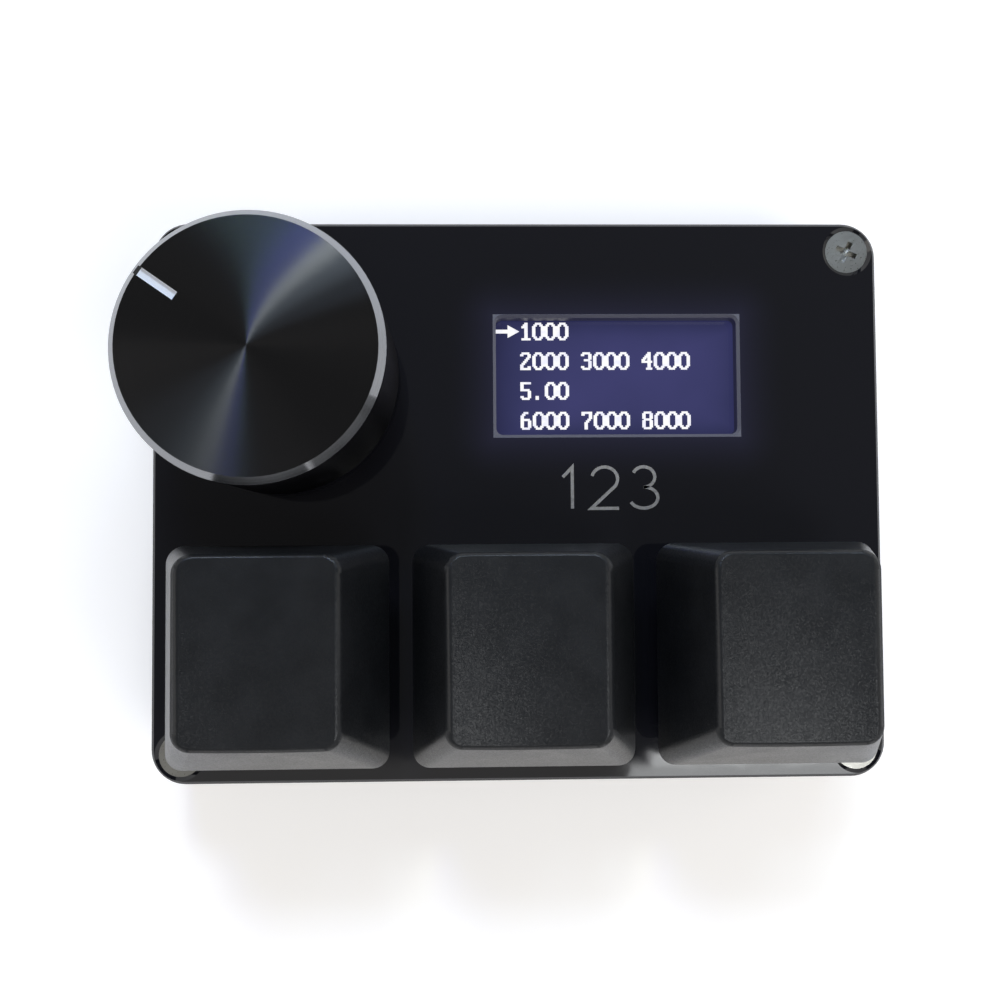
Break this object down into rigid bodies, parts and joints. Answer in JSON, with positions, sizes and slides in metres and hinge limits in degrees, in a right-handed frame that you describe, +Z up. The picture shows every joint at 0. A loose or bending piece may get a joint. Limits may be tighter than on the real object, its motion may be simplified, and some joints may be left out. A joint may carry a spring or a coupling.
{
  "type": "macro keypad",
  "caption": "Small desk macro keypad with sprung keys, a push-and-turn knob and a recessed display on a shallow case with a rear data socket.",
  "frame": {"origin": "on the desk under the middle of the case, at the height of the feet's lower faces", "axes": "+X to the user's right along the row of keys, +Y to the rear with the data socket, +Z up"},
  "size_m": [0.064, 0.049, 0.0276],
  "materials": {
    "case_plastic": "fine matt black moulding",
    "foot_rubber": "matt",
    "screw_steel": "satin",
    "panel_gloss": "glossy black",
    "board_laminate": "dark solder mask",
    "chip_plastic": "matt",
    "component_ceramic": "matt",
    "socket_steel": "drawn sheet",
    "tongue_plastic": "matt",
    "tray_plastic": "matt white",
    "display_glass": "polished, lit from behind",
    "foam": "soft foam",
    "ribbon_film": "amber film",
    "connector_plastic": "matt",
    "encoder_plastic": "matt",
    "bush_alloy": "cast",
    "bracket_steel": "folded sheet",
    "terminal_brass": "tinned",
    "leaf_steel": "bright",
    "rotor_plastic": "matt",
    "shaft_alloy": "turned",
    "knob_alloy": "black anodised with a bright-cut rim and pointer groove",
    "core_plastic": "matt",
    "switch_plastic": "matt",
    "hood_plastic": "satin",
    "stem_plastic": "satin",
    "magnet_plating": "nickel plated",
    "cap_plastic": "fine grained charcoal moulding"
  },
  "bodies": {
    "case": {"case_body": "case_plastic", "rubber_feet": "foot_rubber", "panel_screws": "screw_steel", "top_panel": "panel_gloss", "main_board": "board_laminate", "controller_chip": "chip_plastic", "hall_sensors": "chip_plastic", "board_components": "component_ceramic", "usb_shell": "socket_steel", "usb_tongue": "tongue_plastic", "lcd_frame": "tray_plastic", "lcd_glass": "display_glass", "lcd_cushion": "foam", "lcd_flex": "ribbon_film", "flex_socket": "connector_plastic", "encoder_base": "encoder_plastic", "encoder_bush": "bush_alloy", "encoder_bracket": "bracket_steel", "encoder_terminals": "terminal_brass", "detent_spring": "leaf_steel", "push_contact": "leaf_steel", "switch_lower_left": "switch_plastic", "switch_lower_middle": "switch_plastic", "switch_lower_right": "switch_plastic", "switch_upper_left": "hood_plastic", "switch_upper_middle": "hood_plastic", "switch_upper_right": "hood_plastic", "switch_spring_left": "leaf_steel", "switch_spring_middle": "leaf_steel", "switch_spring_right": "leaf_steel"},
    "rotor": {"encoder_rotor": "rotor_plastic"},
    "knob": {"knob_shell": "knob_alloy", "knob_core": "core_plastic", "encoder_shaft": "shaft_alloy"},
    "plunger": {"push_plunger": "rotor_plastic"},
    "key_left": {"keycap_left": "cap_plastic", "switch_stem_left": "stem_plastic", "switch_magnet_left": "magnet_plating"},
    "key_middle": {"keycap_middle": "cap_plastic", "switch_stem_middle": "stem_plastic", "switch_magnet_middle": "magnet_plating"},
    "key_right": {"keycap_right": "cap_plastic", "switch_stem_right": "stem_plastic", "switch_magnet_right": "magnet_plating"}
  },
  "joints": [
    {"name": "key_press_left", "type": "slide", "parent": "case", "child": "key_left", "axis": [0, 0, -1], "range_m": [0, 0.004], "stiffness_N_per_m": 60, "springref_m": -0.006, "deforming": ["switch_spring_left"]},
    {"name": "key_press_middle", "type": "slide", "parent": "case", "child": "key_middle", "axis": [0, 0, -1], "range_m": [0, 0.004], "stiffness_N_per_m": 60, "springref_m": -0.006, "deforming": ["switch_spring_middle"]},
    {"name": "key_press_right", "type": "slide", "parent": "case", "child": "key_right", "axis": [0, 0, -1], "range_m": [0, 0.004], "stiffness_N_per_m": 60, "springref_m": -0.006, "deforming": ["switch_spring_right"]},
    {"name": "knob_turn", "type": "hinge", "parent": "case", "child": "rotor", "pos_m": [-0.02075, 0.0108, 0.0096], "axis": [0, 0, 1], "continuous": true},
    {"name": "knob_push", "type": "slide", "parent": "rotor", "child": "knob", "axis": [0, 0, -1], "range_m": [0, 0.0005], "stiffness_N_per_m": 1500, "springref_m": -0.0025, "deforming": ["push_contact"]},
    {"name": "plunger_push", "type": "slide", "parent": "case", "child": "plunger", "axis": [0, 0, -1], "range_m": [0, 0.0005]}
  ],
  "couplings": [
    {"joint": "plunger_push", "follows": "knob_push", "ratio": 1}
  ]
}
